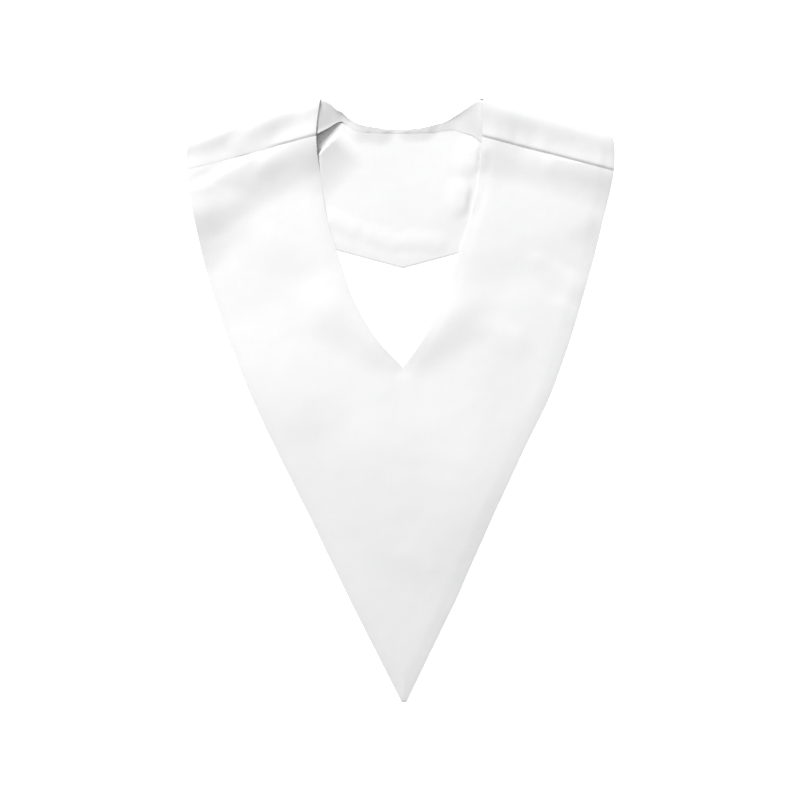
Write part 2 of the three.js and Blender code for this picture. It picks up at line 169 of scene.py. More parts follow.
# Front neckline: at is a share of the neck's depth, left and right of half its width
NECK_EDGE = [
    EdgeRow(0.00, 1.000, 1.000),
    EdgeRow(0.13, 1.055, 0.985),
    EdgeRow(0.30, 1.000, 0.940),
    EdgeRow(0.45, 0.920, 0.825),
    EdgeRow(0.60, 0.775, 0.665),
    EdgeRow(0.75, 0.600, 0.500),
    EdgeRow(0.90, 0.305, 0.235),
    EdgeRow(1.00, 0.000, 0.000),
]

# Back neckline from the middle out to a corner: at is a share of the way, left and right are
# shares of its drop
BACK_NECK = [
    EdgeRow(0.00, 1.000, 1.000),
    EdgeRow(0.20, 0.985, 0.970),
    EdgeRow(0.40, 0.895, 0.860),
    EdgeRow(0.55, 0.800, 0.765),
    EdgeRow(0.68, 0.600, 0.580),
    EdgeRow(0.75, 0.420, 0.460),
    EdgeRow(0.83, 0.300, 0.300),
    EdgeRow(0.91, 0.105, 0.140),
    EdgeRow(1.00, 0.000, 0.000),
]

# Run of the bend below the back neckline, as shares of the corner bend
NECK_BENDS = [
    EdgeRow(0.00, 0.140, 0.140),
    EdgeRow(0.40, 0.160, 0.145),
    EdgeRow(0.55, 0.185, 0.180),
    EdgeRow(0.68, 0.215, 0.290),
    EdgeRow(0.75, 0.240, 0.390),
    EdgeRow(0.83, 0.400, 0.560),
    EdgeRow(0.91, 0.620, 0.760),
    EdgeRow(1.00, 0.780, 1.000),
]

# Lower edge of the facing: left and right are depths, as shares of the facing's drop
FACING_EDGE = [
    EdgeRow(0.00, 0.870, 0.8700),
    EdgeRow(0.43, 0.850, 0.8425),
    EdgeRow(0.59, 0.800, 0.7850),
    EdgeRow(0.66, 0.725, 0.7800),
    EdgeRow(0.72, 0.620, 0.8000),
    EdgeRow(0.77, 0.570, 0.8300),
    EdgeRow(0.84, 0.630, 0.8700),
    EdgeRow(0.93, 0.750, 0.9300),
    EdgeRow(1.03, 0.860, 1.0700),
    EdgeRow(1.14, 0.970, 1.2400),
]

# Where the facet rises, and where its top closes up to the roll, as shares of the way to a corner
FACET_FROM = 0.675
FACET_FULL = 1.05
FACET_CURVE = 1.5
CLOSING_FROM = 0.88
CLOSING_FULL = 0.98

# The facet falls from a little below the fold. Its top closes up to the roll by a small distance
# and by a share of the facet's rise. The lip and the top edge are shares of the facing's width.
FACET_FALL_FROM = 5
CLOSING_DISTANCE = 0.4
CLOSING_RISE = 0.8
FACET_LIP_WIDTH = 0.08
TOP_EDGE_WIDTH = 0.05
CLOSING_WIDTH = 0.06
BAND_RISE = 0.3
BAND_PUCKER = 0.5
BAND_PUCKER_LENGTH = 9

# Soft folds: a crest from (x0, d0) to (x1, d1), how far its sides reach above and below it on the
# stole, and how high it stands. A hollow has a rise below 0.
Fold = namedtuple("Fold", "x0 d0 x1 d1 above below rise")
FRONT_FOLDS = [
    Fold(-139, 57, -199, 92, 14, 50, 1.5),
    Fold(-222, 88, -213, 146, 48, 14, 2.4),
    Fold(-214, 122, -176, 112, 26, 40, 1.9),
    Fold(-113, 46, -137, 66, 9, 22, 0.8),
    Fold(-202, 82, -192, 81, 12, 12, -0.5),
    Fold(-150, 170, -95, 300, 60, 50, 0.9),
    Fold(148, 60, 186, 120, 15, 34, 1.0),
    Fold(156, 62, 214, 72, 8, 24, 1.0),
    Fold(142, 164, 180, 190, 14, 20, 0.5),
    Fold(164, 208, 182, 226, 10, 16, 0.35),
    Fold(92, 232, 120, 246, 18, 22, 0.35),
    Fold(-62, 212, -22, 236, 60, 44, 2.4),
    Fold(24, 238, 56, 214, 60, 44, 2.4),
    Fold(-125, 295, 40, 400, 120, 110, 2.6),
    Fold(10, 462, 26, 474, 20, 22, 0.4),
    Fold(34, 494, 46, 520, 16, 16, 0.3),
    Fold(84, 54, 82, 66, 12, 10, 0.4),
    Fold(75, 96, 71, 108, 12, 10, 0.5),
]
YOKE_FOLDS = [
    Fold(-118, 12, -162, 46, 14, 20, 1.1),
    Fold(-88, 33, -84, 24, 10, 12, 0.4),
]
LINING_FOLDS = [
    Fold(-38, 27, -20, 29, 14, 20, 1.7),
    Fold(8, 29, 24, 29, 14, 16, 1.3),
    Fold(32, 28, 35, 28, 9, 9, 0.5),
    Fold(46, 26, 49, 26, 9, 9, 0.5),
    Fold(-68, 122, -48, 132, 16, 13, 0.5),
    Fold(-30, 138, -6, 146, 16, 13, 0.5),
    Fold(10, 144, 38, 146, 16, 13, 0.5),
    Fold(58, 72, 50, 116, 50, 24, 0.55),
    Fold(76, 54, 75.5, 64, 26, 6, 0.9),
    Fold(66, 96, 64.5, 106, 26, 7, 1.0),
]

# The lining's raised fold under the left neck corner: steep above, and below it a slope that
# levels out by the power of its curve. It fades from a share of its run, and the lining's folds
# fade out over a short way past the neck corners.
CORNER_FOLD = Fold(-84, 58, -57, 31, 1.8, 40, 5.4)
CORNER_FOLD_CURVE = 1.7
CORNER_FOLD_FADE = 0.55
LINING_FOLDS_END = 17
LINING_FALL = 5

# How finely the cloth is divided
WING_COLUMNS = 56
NECK_COLUMNS = 124
FRONT_COLUMNS = 56
YOKE_ROWS = 18
ARC_ROWS = 8
BACK_ROWS = 84
BACK_ROW_CROWDING = 1.35
FACING_ROWS = 20
FACING_COLUMNS = 130
FRONT_ROW_SPACING = 3.2
FINE_STEPS = (0.0, 0.45, 1.0, 1.8, 3.0, 4.6, 6.6)
EDGE_CROWDING = 0.62
WING_FAN = 30
MERGE_DISTANCE = 0.02
EDGE_ROUNDING = 0.24
PRESSED_REACH = 5
OUTER_EDGE_SLANT = 0.92

# Finish: how much the slubs and the pressed edges change the tint and the gloss, and the depths
# of the handling creases and of the threads
SLUB_TINT = 0.6
PRESSED_TINT = 0.35
SLUB_GRAIN = 0.12
PRESSED_POLISH = -0.1
CREASE_DEPTH = 1.2
THREAD_DEPTH = 0.03


def mix(a, b, share):
    return a + (b - a) * share


def ease(value, low, high):
    share = min(max((value - low) / (high - low), 0), 1)
    return share * share * (3 - 2 * share)


def read_table(table, column, at):
    """One column of a table, read as a smooth line through its rows."""
    last = len(table) - 1
    i = next((n for n, row in enumerate(table) if row.at > at), last) - 1
    i = min(max(i, 0), last - 1)

    def slope(n):
        before, after = table[max(n - 1, 0)], table[min(n + 1, last)]
        return (getattr(after, column) - getattr(before, column)) / (after.at - before.at)

    start, end = table[i], table[i + 1]
    span = end.at - start.at
    t = min(max((at - start.at) / span, 0), 1)
    leaving = (1 + 2 * t) * getattr(start, column) + t * span * slope(i)
    arriving = (3 - 2 * t) * getattr(end, column) - (1 - t) * span * slope(i + 1)
    return (1 - t) ** 2 * leaving + t * t * arriving


def waver(seed, at, length, size):
    """A small irregular wander along an edge."""
    return size * noise.noise(Vector((at / length, seed, 0.5)))


def outer_x(side, depth):
    """Where the outer edge lies. Below its table it runs straight to the point."""
    last = OUTER_EDGE[-1]
    down = depth / LENGTH
    wander = waver(3.1 * side.sign, depth, 30, 0.5)
    if down <= last.at:
        return side.sign * HALF_WIDTH * read_table(OUTER_EDGE, side.name, down) + wander
    start = side.sign * HALF_WIDTH * getattr(last, side.name)
    end = POINT_OFFSET + side.sign * POINT_WIDTH / 2
    share = (down - last.at) / (1 - last.at)
    return mix(start, end, share) + wander * (1 - share)


def neck_x(side, depth):
    """Where the front neckline lies. Below the V it is the middle line of the panel."""
    down = depth / NECK_DEPTH
    if down >= 1:
        return mix(V_POINT_OFFSET, POINT_OFFSET, (depth - NECK_DEPTH) / (LENGTH - NECK_DEPTH))
    half = NECK_WIDTH / 2 * read_table(NECK_EDGE, side.name, down)
    wander = waver(7.7 * side.sign, depth, 22, 0.7) * math.sin(math.pi * down)
    return mix(NECK_OFFSET, V_POINT_OFFSET, down) + side.sign * half + wander


def side_of(x):
    return LEFT if x < NECK_OFFSET else RIGHT


def back_neck_half(side):
    return NECK_WIDTH / 2 - side.neck_turn


def neck_share(x):
    """How far out a place lies, from the middle of the back neckline (0) to its corner (1)."""
    side = side_of(x)
    return side.sign * (x - NECK_OFFSET) / back_neck_half(side)


def hem_depth(x):
    return mix(BACK_LENGTH, HEM_CORNER_DEPTH, abs(x - V_POINT_OFFSET) / HALF_WIDTH)


def fold_depth(side, share):
    straight = mix(side.fold_at_neck, side.fold_at_arm, share)
    bulge = side.fold_bulge * math.sin(math.pi * share)
    return straight - bulge + waver(side.sign, share, 0.2, 0.5)


def seam_depth(side, share):
    at_neck = side.fold_at_neck + side.yoke_at_neck
    at_arm = side.fold_at_arm + side.yoke_at_arm
    return mix(at_neck, at_arm, share)


def roll_radius(side, share):
    height = mix(side.roll_at_neck, side.roll_at_arm, ease(share, 0, 0.4))
    return (height - BACK_THICKNESS) / 2


def fold_rise(fold, x, depth):
    """How high one soft fold stands at a point."""
    run = (fold.x1 - fold.x0, fold.d1 - fold.d0)
    off = (x - fold.x0, depth - fold.d0)
    along = (off[0] * run[0] + off[1] * run[1]) / (run[0] ** 2 + run[1] ** 2)
    along = min(max(along, 0), 1)
    away = math.hypot(off[0] - along * run[0], off[1] - along * run[1])
    across = (run[0] * off[1] - run[1] * off[0]) / math.hypot(*run)
    down = math.copysign(across, across * run[0]) / max(away, 0.001)
    reach = mix(fold.above, fold.below, (1 + min(max(down, -1), 1)) / 2)
    return fold.rise * math.cos(math.pi / 2 * min(away / reach, 1)) ** 2


def folds_rise(folds, x, depth):
    return sum(fold_rise(fold, x, depth) for fold in folds)


def ripple(x, depth, seed, from_edge):
    """Unevenness of cloth that has been folded away and laid out again, less at its edges."""
    wide, small = BROAD_WAVES, SMALL_WAVES
    rise = wide.height * (1 + noise.noise(Vector((x / wide.across, depth / wide.down, seed))))
    rise += small.height * noise.noise(Vector((x / small.across, depth / small.down, seed + 4)))
    return rise * mix(WAVES_AT_EDGE, 1, ease(from_edge, 0, WAVES_FADE))


def edge_form(from_edge):
    """The ridge of a turned edge, and the cloth rising off it."""
    ridge = EDGE_RIDGE * math.exp(-(((from_edge - EDGE_RIDGE_IN) / EDGE_RIDGE_REACH) ** 2))
    return ridge + PUFF * (1 - math.exp(-((from_edge / EDGE_FALL) ** 2)))


def seam_share(side, x):
    """How far along the shoulder seam a place lies, from the neck (0) to the arm (1)."""
    inner = neck_x(side, seam_depth(side, 0))
    outer = outer_x(side, seam_depth(side, 1))
    return min(max((x - inner) / (outer - inner), 0), 1)


def seam_ridge(side, share):
    return mix(side.seam_rise_neck, side.seam_rise_arm, share)


def groove(side, share, from_seam):
    """How deep the yoke dips to its seam, with the puckers of the stitches."""
    faded = ease(share, side.groove_end - GROOVE_FADE, side.groove_end)
    deep = mix(side.groove, side.groove_least, faded)
    pucker = 1 + PUCKER_DEPTH * noise.noise(Vector((share * PUCKERS, side.sign, 2)))
    return deep * pucker * math.exp(-((from_seam / GROOVE_WIDTH) ** 2))


def neck_rise(side, x, depth):
    """How far a neck edge stands up off the back panel."""
    from_edge = side.sign * (x - neck_x(side, min(depth, NECK_DEPTH)))
    across = 1 - ease(from_edge, 0, LIFT_REACH)
    seam = seam_depth(side, 0)
    return side.neck_lift * across * (1 - ease(depth, seam, seam + LIFT_LENGTH))


def front_base(side, x, depth):
    """Height of the middle of the front cloth, without its edges and its folds."""
    past_hem = depth - hem_depth(x) - 1
    lying = FRONT_OVER_BACK * (1 - ease(past_hem, 0, HEM_STEP_RUN))
    share = seam_share(side, x)
    from_seam = depth - seam_depth(side, share)
    reach = mix(side.seam_reach_neck, side.seam_reach_arm, share)
    ridge = seam_ridge(side, share) * (1 - ease(from_seam, 0, reach))
    return FRONT_THICKNESS / 2 + lying + ridge + neck_rise(side, x, depth)


def front_height(side, x, depth, from_edge):
    height = front_base(side, x, depth) + folds_rise(FRONT_FOLDS, x, depth)
    height += edge_form(from_edge) + ripple(x, depth, 1, from_edge)
    return max(height, FRONT_THICKNESS / 2)


Point = namedtuple("Point", "x depth height along pressed")


def pressed_near(distance):
    """1 on a pressed edge or seam, and 0 a few millimetres away from it."""
    return math.exp(-((distance / PRESSED_REACH) ** 2))


def crowded(steps):
    """Shares from 0 to 1 that lie closer together at both ends."""
    shares = [n / steps for n in range(steps + 1)]
    return [t - EDGE_CROWDING * math.sin(2 * math.pi * t) / (2 * math.pi) for t in shares]


def front_row(side, inner_depth, outer_depth, seam_distance):
    inner, outer = neck_x(side, inner_depth), outer_x(side, outer_depth)
    row = []
    for share in crowded(FRONT_COLUMNS):
        x = mix(inner, outer, share)
        depth = mix(inner_depth, outer_depth, share)
        from_outer = abs(outer - x) * OUTER_EDGE_SLANT
        from_neck = math.hypot(x - inner, max(inner_depth - NECK_DEPTH, 0))
        from_point = LENGTH - depth
        from_edge = min(from_outer, from_neck, from_point)
        height = front_height(side, x, depth, from_edge)
        pressed = pressed_near(min(from_edge, seam_distance))
        row.append(Point(x, depth, height, depth, pressed))
    return row


def stations(start, end, spacing):
    """Distances from start to end, in equal steps of about one spacing."""
    count = max(round((end - start) / spacing), 1)
    return [mix(start, end, n / count) for n in range(count + 1)]


def front_wing(side):
    """The front beside the neck, from the shoulder seam down to the level of the V point."""
    inner_start, outer_start = seam_depth(side, 0), seam_depth(side, 1)
    reach = NECK_DEPTH - inner_start
    downs = list(FINE_STEPS) + stations(FINE_STEPS[-1], reach, FRONT_ROW_SPACING)[1:]
    rows = []
    for down in downs:
        level = down / reach
        inner = inner_start + down + SEAM_GAP * (1 - level)
        fanned = mix(down, down * (NECK_DEPTH - outer_start) / reach, ease(down, 0, WING_FAN))
        outer = outer_start + fanned + SEAM_GAP * (1 - level)
        rows.append(front_row(side, inner, outer, down))
    rows[-1] = front_row(side, NECK_DEPTH, NECK_DEPTH, reach)
    return rows


def front_lower():
    """The front below the V point, both sides in one."""
    rows = []
    for depth in stations(NECK_DEPTH, LENGTH, FRONT_ROW_SPACING):
        left_row = front_row(LEFT, depth, depth, NECK_DEPTH)[::-1]
        rows.append(left_row + front_row(RIGHT, depth, depth, NECK_DEPTH)[1:])
    return rows


def back_edge(side, at):
    """The back's top edge at a share of half its neckline: its depth, height and bend."""
    fold = fold_depth(side, 0)
    if at <= 1:
        other = RIGHT if side is LEFT else LEFT
        fold = mix(fold_depth(other, 0), fold, (at + 1) / 2)
    drop = read_table(BACK_NECK, side.name, at)
    run = read_table(NECK_BENDS, side.name, at) * CORNER_BEND
    half = back_neck_half(side)
    x = NECK_OFFSET + side.sign * at * half
    wander = waver(5, x, 16, 0.8) * (1 - min(at, 1) ** 8)
    edge = fold + BACK_THICKNESS / 2 + drop * BACK_NECK_DROP + wander
    if at > 1:
        past = (at - 1) * half / (HALF_WIDTH - half)
        edge = fold_depth(side, past) + BACK_THICKNESS / 2
    return edge, roll_radius(side, 0) * (1 - drop), run


def lower_section(edge, rise, run, hem):
    """The lower layer of the back, from its top edge down over a bend and flat to the hem."""
    section = []
    for r in range(ARC_ROWS + 1):
        turn = math.pi / 2 * r / ARC_ROWS
        height = BACK_THICKNESS / 2 + rise * (1 - math.sin(turn))
        section.append((edge + run * (1 - math.cos(turn)), height))
    for r in range(1, BACK_ROWS + 1):
        share = (r / BACK_ROWS) ** BACK_ROW_CROWDING
        section.append((mix(edge + run, hem, share), BACK_THICKNESS / 2))
    return section


def along_section(places):
    """Length of cloth up to each place of a section."""
    lengths = [0]
    for before, after in zip(places, places[1:]):
        lengths.append(lengths[-1] + math.hypot(after[0] - before[0], after[1] - before[1]))
    return lengths


def shoulder_section(side, share):
    inner = NECK_OFFSET + side.sign * back_neck_half(side)
    x = mix(inner, outer_x(side, HEM_CORNER_DEPTH), share)
    radius = roll_radius(side, share)
    corner_run = read_table(NECK_BENDS, side.name, 1) * CORNER_BEND
    run = mix(corner_run, radius, ease(share, 0.1, 0.4))
    return lower_section(fold_depth(side, share) + BACK_THICKNESS / 2, radius, run, hem_depth(x))


def shoulder_column(side, share):
    inner = NECK_OFFSET + side.sign * back_neck_half(side)
    arm = shoulder_section(side, 1)
    section = shoulder_section(side, share)
    lengths = along_section(section)
    column = []
    for (depth, height), (arm_depth, _), length in zip(section, arm, lengths):
        outer = outer_x(side, arm_depth)
        x = mix(inner, outer, share)
        pressed = pressed_near(min(abs(outer - x), hem_depth(x) - depth))
        column.append(Point(x, depth, height, length, pressed))
    return column


def neck_column(at):
    side = LEFT if at < 0 else RIGHT
    x = NECK_OFFSET + at * back_neck_half(side)
    edge, rise, run = back_edge(side, abs(at))
    section = lower_section(edge, rise, run, hem_depth(x))
    lengths = along_section(section)
    return [
        Point(x, depth, height, length, pressed_near(min(depth - edge, hem_depth(x) - depth)))
        for (depth, height), length in zip(section, lengths)
    ]


def lower_columns():
    """The whole lower layer of the back, from the left arm to the right arm."""
    shares = crowded(WING_COLUMNS)[1:]
    columns = [shoulder_column(LEFT, share) for share in shares[::-1]]
    columns += [neck_column(2 * n / NECK_COLUMNS - 1) for n in range(NECK_COLUMNS + 1)]
    columns += [shoulder_column(RIGHT, share) for share in shares]
    return columns


def yoke_section(side, at):
    """From the seam up to the crest of the roll, then over it to its far side."""
    radius = roll_radius(side, at)
    seam = seam_depth(side, at)
    crest = fold_depth(side, at) + BACK_THICKNESS / 2 + radius
    top = BACK_THICKNESS / 2 + 2 * radius
    wide = seam - crest
    ups = [step / wide for step in FINE_STEPS]
    ups += [mix(ups[-1], 1, n / YOKE_ROWS) for n in range(1, YOKE_ROWS + 1)]
    section = [(mix(seam, crest, up), up, top, 0) for up in ups]
    for r in range(1, ARC_ROWS + 1):
        turn = math.pi / 2 * r / ARC_ROWS
        height = top - radius * (1 - max(math.cos(turn), 0) ** ROLL_TURN)
        section.append((crest - radius * math.sin(turn) ** ROLL_TURN, 1, height, r / ARC_ROWS))
    return section


def yoke_column(side, share):
    at_neck, at_arm = yoke_section(side, 0), yoke_section(side, 1)
    corner = NECK_OFFSET + side.sign * back_neck_half(side)
    section = yoke_section(side, share)
    seam = section[0][0]
    seam_x = mix(neck_x(side, at_neck[0][0]), outer_x(side, at_arm[0][0]), share)
    seam_height = front_base(side, seam_x, seam) + folds_rise(FRONT_FOLDS, seam_x, seam)
    places = []
    for (depth, up, top, turned), neck_place, arm_place in zip(section, at_neck, at_arm):
        inner = mix(neck_x(side, neck_place[0]), corner, turned**CORNER_TURN)
        outer = outer_x(side, arm_place[0])
        x = mix(inner, outer, share)
        from_seam = seam - depth
        from_edge = min(abs(x - inner), abs(outer - x))
        height = top
        if not turned:
            height = mix(seam_height + PUFF + groove(side, share, 0), top, ease(up, 0, 1))
            height -= side.yoke_valley * math.sin(math.pi * up) ** 2
            height -= groove(side, share, from_seam)
        height += folds_rise(YOKE_FOLDS, x, depth) * (1 - turned)
        height += (ripple(x, depth, 1, from_edge) + edge_form(from_edge) - PUFF) * (1 - up) ** 0.5
        places.append((x, depth, height, min(from_edge, from_seam)))
    lengths = along_section([(depth, height) for _, depth, height, _ in places])
    return [
        Point(x, depth, height, -lengths[-1] + length, pressed_near(near))
        for (x, depth, height, near), length in zip(places, lengths)
    ]


def transposed(grid):
    return [list(line) for line in zip(*grid)]


def yoke_rows(side):
    columns = [yoke_column(side, share) for share in crowded(WING_COLUMNS)]
    return transposed(columns[::-1] if side.sign < 0 else columns)


def place_of(point):
    return Vector((point.x, TOP - point.depth, point.height)) * MM


def shifted(rows, distance):
    """Moves rows of the lower layer off their own surface, towards the inside of the back."""
    places = [[place_of(point) for point in row] for row in rows]
    last_row, last_column = len(rows) - 1, len(rows[0]) - 1
    moved = []
    for r, row in enumerate(rows):
        line = []
        for c, point in enumerate(row):
            across = places[r][min(c + 1, last_column)] - places[r][max(c - 1, 0)]
            down = places[min(r + 1, last_row)][c] - places[max(r - 1, 0)][c]
            shift = down.cross(across).normalized() * distance
            x, depth, height = point.x + shift.x, point.depth - shift.y, point.height + shift.z
            line.append(point._replace(x=x, depth=depth, height=height))
        moved.append(line)
    return moved


def add_material(piece, material):
    piece.data.materials.clear()
    piece.data.materials.append(material)


def lay_grid(rows):
    """One flat grid with its points moved to where the cloth lies."""
    bpy.ops.object.select_all(action="DESELECT")
    bpy.ops.mesh.primitive_grid_add(
        x_subdivisions=len(rows[0]) - 1, y_subdivisions=len(rows) - 1, size=1
    )
    piece = bpy.context.object
    mesh = piece.data
    points = [point for row in rows for point in row]
    places = [place_of(point) for point in points]
    mesh.vertices.foreach_set("co", [value for place in places for value in place])
    flat = [(point.x * MM, -point.along * MM) for point in points]
    corners = [flat[loop.vertex_index] for loop in mesh.loops]
    mesh.uv_layers.active.data.foreach_set("uv", [value for uv in corners for value in uv])
    pressed = mesh.attributes.new("pressed", "FLOAT", "POINT")
    pressed.data.foreach_set("value", [point.pressed for point in points])
    mesh.update()
    return piece


def sew(name, grids, thickness, material):
    """Joins grids into one sheet of cloth with a rounded edge all round."""
    parts = [lay_grid(rows) for rows in grids]
    bpy.ops.object.select_all(action="DESELECT")
    for part in parts:
        part.select_set(True)
    piece = parts[0]
    bpy.context.view_layer.objects.active = piece
    if len(parts) > 1:
        bpy.ops.object.join()
    piece.name = name
    piece.data.name = name
    bpy.ops.object.mode_set(mode="EDIT")
    bpy.ops.mesh.select_all(action="SELECT")
    bpy.ops.mesh.remove_doubles(threshold=MERGE_DISTANCE * MM)
    bpy.ops.mesh.normals_make_consistent(inside=False)
    bpy.ops.object.mode_set(mode="OBJECT")
    bpy.ops.object.transform_apply(location=True, rotation=True, scale=True)
    wall = piece.modifiers.new("thickness", "SOLIDIFY")
    wall.thickness = thickness * MM
    wall.offset = 0
    rounding = piece.modifiers.new("rounded edge", "BEVEL")
    rounding.width = thickness * EDGE_ROUNDING * MM
    rounding.segments = 2
    rounding.limit_method = "ANGLE"
    rounding.angle_limit = math.radians(55)
    for modifier in list(piece.modifiers):
        bpy.ops.object.modifier_apply(modifier=modifier.name)
    bpy.ops.object.shade_smooth()
    add_material(piece, material)
    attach(piece, "root")
    return piece


def new_group(name, inputs, outputs):
    """A node group with named inputs and outputs."""
    group = bpy.data.node_groups.new(name, "ShaderNodeTree")
    for label, kind, value in inputs:
        socket = group.interface.new_socket(name=label, in_out="INPUT", socket_type=kind)
        socket.default_value = value
    for label, kind in outputs:
        group.interface.new_socket(name=label, in_out="OUTPUT", socket_type=kind)
    nodes = group.nodes
    return group, nodes.new("NodeGroupInput"), nodes.new("NodeGroupOutput")


def add_math(nodes, links, operation, first, second, clamp=False):
    node = nodes.new("ShaderNodeMath")
    node.operation = operation
    node.use_clamp = clamp
    for socket, value in zip(node.inputs, (first, second)):
        if isinstance(value, (int, float)):
            socket.default_value = value
        else:
            links.new(value, socket)
    return node.outputs[0]


def weave_group():
    """Satin weave: fine warp floats, crossed by a weft at a wider spacing."""
    group, start, end = new_group(
        "satin_weave",
        [("Threads per Metre", "NodeSocketFloat", 2600.0)],
        [("Height", "NodeSocketFloat"), ("Slub", "NodeSocketFloat")],
    )
    nodes, links = group.nodes, group.links
    flat = nodes.new("ShaderNodeUVMap")
    flat.uv_map = "UVMap"
    split = nodes.new("ShaderNodeSeparateXYZ")
    links.new(flat.outputs[0], split.inputs[0])
    threads = start.outputs["Threads per Metre"]
    warp_at = add_math(nodes, links, "MULTIPLY", split.outputs[0], threads)
    weft_at = add_math(nodes, links, "MULTIPLY", split.outputs[1], threads)
    weft_slow = add_math(nodes, links, "MULTIPLY", weft_at, 0.4)
    warp_turn = add_math(nodes, links, "MULTIPLY", warp_at, 2 * math.pi)
    warp = add_math(nodes, links, "SINE", warp_turn, 0)
    warp_slow = add_math(nodes, links, "MULTIPLY", warp_at, 0.4)
    diagonal = add_math(nodes, links, "ADD", weft_slow, warp_slow)
    float_turn = add_math(nodes, links, "MULTIPLY", diagonal, 2 * math.pi)
    floats = add_math(nodes, links, "SINE", float_turn, 0)
    low_floats = add_math(nodes, links, "MULTIPLY", floats, 0.45)
    links.new(add_math(nodes, links, "ADD", low_floats, warp), end.inputs["Height"])
    slub = nodes.new("ShaderNodeTexNoise")
    slub.inputs["Scale"].default_value = 1.0
    slub.inputs["Detail"].default_value = 3.0
    stretch = nodes.new("ShaderNodeMapping")
    stretch.inputs["Scale"].default_value = (900.0, 40.0, 1.0)
    links.new(flat.outputs[0], stretch.inputs["Vector"])
    links.new(stretch.outputs[0], slub.inputs["Vector"])
    links.new(slub.outputs["Fac"], end.inputs["Slub"])
    return group


def crease_group():
    """Soft handling creases at two sizes."""
    group, start, end = new_group(
        "handling_creases",
        [("Scale", "NodeSocketFloat", 22.0)],
        [("Height", "NodeSocketFloat")],
    )
    nodes, links = group.nodes, group.links
    place = nodes.new("ShaderNodeTexCoord")
    broad = nodes.new("ShaderNodeTexNoise")
    broad.inputs["Detail"].default_value = 2.0
    broad.inputs["Roughness"].default_value = 0.45
    broad.inputs["Distortion"].default_value = 0.6
    fine = nodes.new("ShaderNodeTexNoise")
    fine.inputs["Detail"].default_value = 2.0
    links.new(place.outputs["Object"], broad.inputs["Vector"])
    links.new(place.outputs["Object"], fine.inputs["Vector"])
    links.new(start.outputs["Scale"], broad.inputs["Scale"])
    fine_scale = add_math(nodes, links, "MULTIPLY", start.outputs["Scale"], 4.5)
    links.new(fine_scale, fine.inputs["Scale"])
    small = add_math(nodes, links, "MULTIPLY", fine.outputs["Fac"], 0.18)
    links.new(add_math(nodes, links, "ADD", broad.outputs["Fac"], small), end.inputs["Height"])
    return group


def satin(name, weave, creases, light, shade, roughness, threads):
    """White satin: light and shade are the two tints that its threads vary between."""
    material = bpy.data.materials.new(name)
    material.use_nodes = True
    nodes, links = material.node_tree.nodes, material.node_tree.links
    nodes.clear()
    output = nodes.new("ShaderNodeOutputMaterial")
    shader = nodes.new("ShaderNodeBsdfPrincipled")
    shader.inputs["Sheen Weight"].default_value = 0.25
    shader.inputs["Sheen Roughness"].default_value = 0.4
    shader.inputs["Specular IOR Level"].default_value = 0.45
    shader.inputs["Anisotropic"].default_value = 0.35
    links.new(shader.outputs[0], output.inputs["Surface"])

    woven = nodes.new("ShaderNodeGroup")
    woven.node_tree = weave
    woven.inputs["Threads per Metre"].default_value = threads
    handled = nodes.new("ShaderNodeGroup")
    handled.node_tree = creases
    pressed = nodes.new("ShaderNodeAttribute")
    pressed.attribute_name = "pressed"

    tint = nodes.new("ShaderNodeMix")
    tint.data_type = "RGBA"
    tint.inputs["A"].default_value = (*light, 1)
    tint.inputs["B"].default_value = (*shade, 1)
    slubbed = add_math(nodes, links, "MULTIPLY", woven.outputs["Slub"], SLUB_TINT)
    edge = add_math(nodes, links, "MULTIPLY", pressed.outputs["Fac"], PRESSED_TINT)
    links.new(add_math(nodes, links, "ADD", slubbed, edge, clamp=True), tint.inputs["Factor"])
    links.new(tint.outputs["Result"], shader.inputs["Base Color"])

    polish = add_math(nodes, links, "MULTIPLY", pressed.outputs["Fac"], PRESSED_POLISH)
    grain = add_math(nodes, links, "MULTIPLY", woven.outputs["Slub"], SLUB_GRAIN)
    change = add_math(nodes, links, "ADD", polish, grain)
    rough = add_math(nodes, links, "ADD", change, roughness - SLUB_GRAIN / 2)
    links.new(rough, shader.inputs["Roughness"])

    cloth = nodes.new("ShaderNodeBump")
    cloth.inputs["Distance"].default_value = CREASE_DEPTH * MM
    cloth.inputs["Strength"].default_value = 0.3
    links.new(handled.outputs["Height"], cloth.inputs["Height"])
    threadwork = nodes.new("ShaderNodeBump")
    threadwork.inputs["Distance"].default_value = THREAD_DEPTH * MM
    threadwork.inputs["Strength"].default_value = 0.3
    links.new(woven.outputs["Height"], threadwork.inputs["Height"])
    links.new(cloth.outputs["Normal"], threadwork.inputs["Normal"])
    links.new(threadwork.outputs["Normal"], shader.inputs["Normal"])
    return material


def make_front(material):
    left_wing = [row[::-1] for row in front_wing(LEFT)]
    grids = [left_wing, front_wing(RIGHT), front_lower()]
    front = sew("front_panel_cloth", grids, FRONT_THICKNESS, material)
    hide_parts("front_panel")


def make_back(material, columns):
    grids = [yoke_rows(LEFT), yoke_rows(RIGHT), transposed(columns)]
    back = sew("back_panel_cloth", grids, BACK_THICKNESS, material)
    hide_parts("back_panel")


def corner_fold_rise(x, depth):
    """The raised fold, fading out towards its upper end."""
    fold = CORNER_FOLD
    run = Vector((fold.x1 - fold.x0, fold.d1 - fold.d0))
    off = Vector((x - fold.x0, depth - fold.d0))
    along = off.dot(run) / run.length_squared
    below = run.cross(off) / run.length
    if below < 0:
        share = 1 - ease(-below, 0, fold.above)
    else:
        share = (1 - min(below / fold.below, 1)) ** CORNER_FOLD_CURVE
    return fold.rise * share * (1 - ease(along, CORNER_FOLD_FADE, 1))


